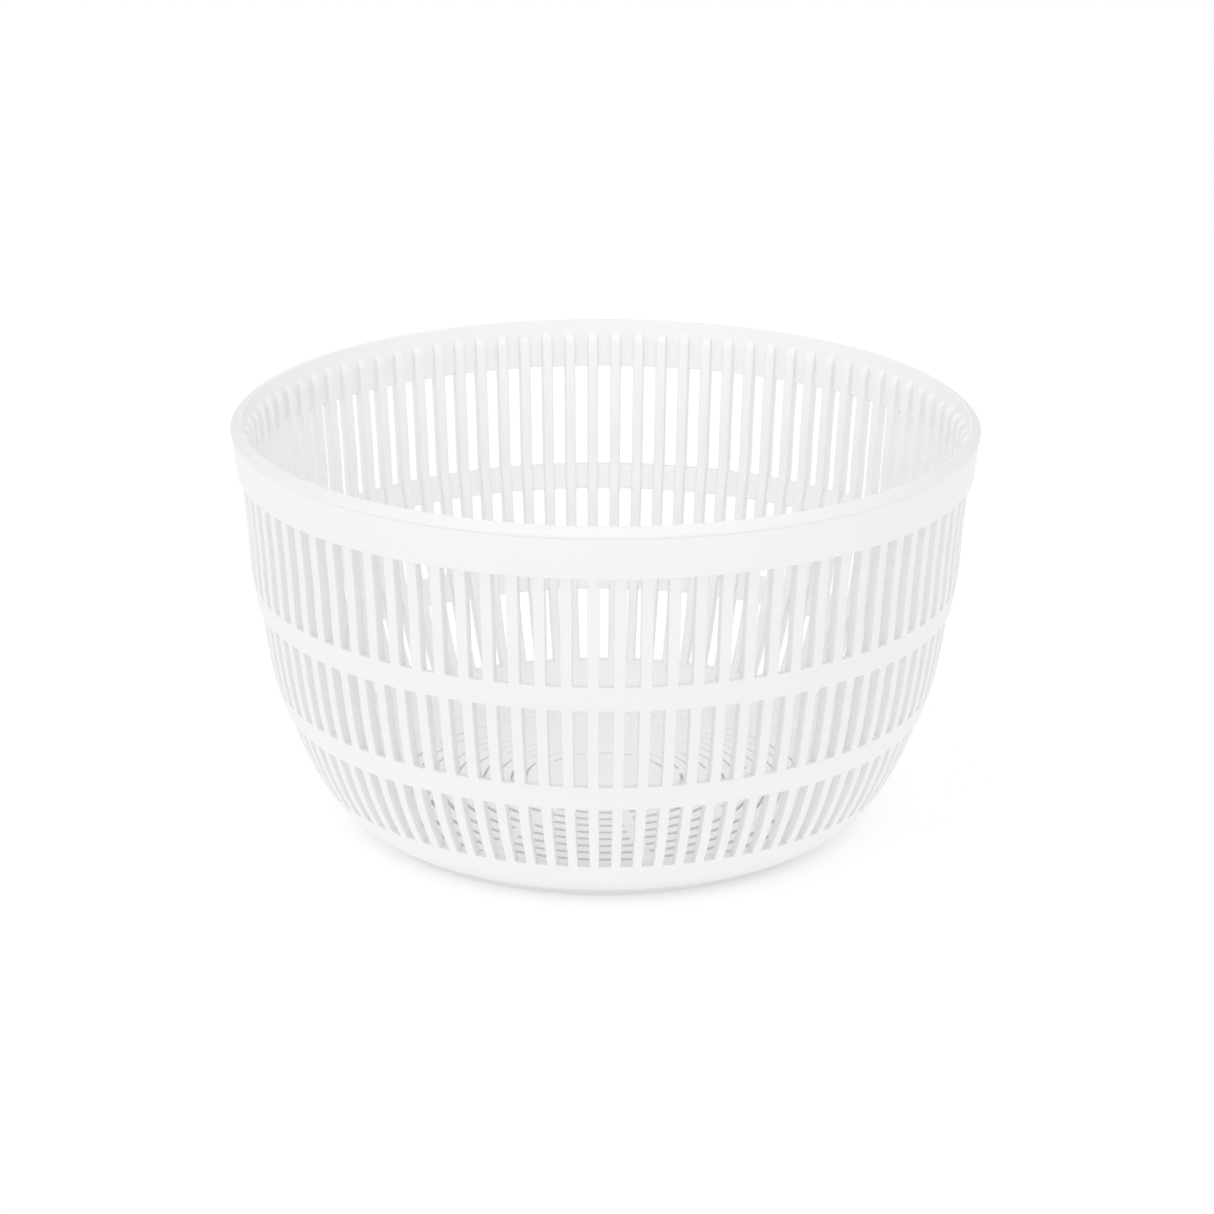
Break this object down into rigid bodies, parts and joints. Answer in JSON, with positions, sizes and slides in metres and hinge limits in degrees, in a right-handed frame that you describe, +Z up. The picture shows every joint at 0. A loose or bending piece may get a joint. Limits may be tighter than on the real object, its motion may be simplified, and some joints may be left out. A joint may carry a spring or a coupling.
{
  "type": "salad spinner basket",
  "caption": "Round slotted inner basket of a salad spinner: upright ribs held by a rim, hoops and a base ring over a ringed, spoked floor.",
  "frame": {"origin": "centre of the foot ring's resting plane, on the basket's axis", "axes": "+Z up along the basket's axis towards the open rim, -Y towards the viewer, +X to the viewer's right"},
  "size_m": [0.23, 0.23, 0.1279],
  "materials": {
    "rim": "satin",
    "hoops": "satin",
    "ribs": "satin",
    "base": "satin",
    "floor": "satin"
  },
  "bodies": {
    "root": {"rim_bead": "rim", "rim_band": "rim", "upper_hoop": "hoops", "lower_hoop": "hoops", "base_ring": "base", "foot_ring": "base", "floor_hub": "floor", "upper_ribs_01": "ribs", "upper_ribs_02": "ribs", "upper_ribs_03": "ribs", "upper_ribs_04": "ribs", "upper_ribs_05": "ribs", "upper_ribs_06": "ribs", "upper_ribs_07": "ribs", "upper_ribs_08": "ribs", "upper_ribs_09": "ribs", "upper_ribs_10": "ribs", "upper_ribs_11": "ribs", "upper_ribs_12": "ribs", "upper_ribs_13": "ribs", "upper_ribs_14": "ribs", "upper_ribs_15": "ribs", "upper_ribs_16": "ribs", "upper_ribs_17": "ribs", "upper_ribs_18": "ribs", "lower_ribs_01": "ribs", "lower_ribs_02": "ribs", "lower_ribs_03": "ribs", "lower_ribs_04": "ribs", "lower_ribs_05": "ribs", "lower_ribs_06": "ribs", "lower_ribs_07": "ribs", "lower_ribs_08": "ribs", "lower_ribs_09": "ribs", "lower_ribs_10": "ribs", "lower_ribs_11": "ribs", "lower_ribs_12": "ribs", "lower_ribs_13": "ribs", "lower_ribs_14": "ribs", "lower_ribs_15": "ribs", "lower_ribs_16": "ribs", "lower_ribs_17": "ribs", "lower_ribs_18": "ribs", "floor_sector_1": "floor", "floor_sector_2": "floor", "floor_sector_3": "floor", "floor_sector_4": "floor", "floor_sector_5": "floor", "floor_sector_6": "floor", "floor_sector_7": "floor", "floor_sector_8": "floor"}
  },
  "joints": []
}
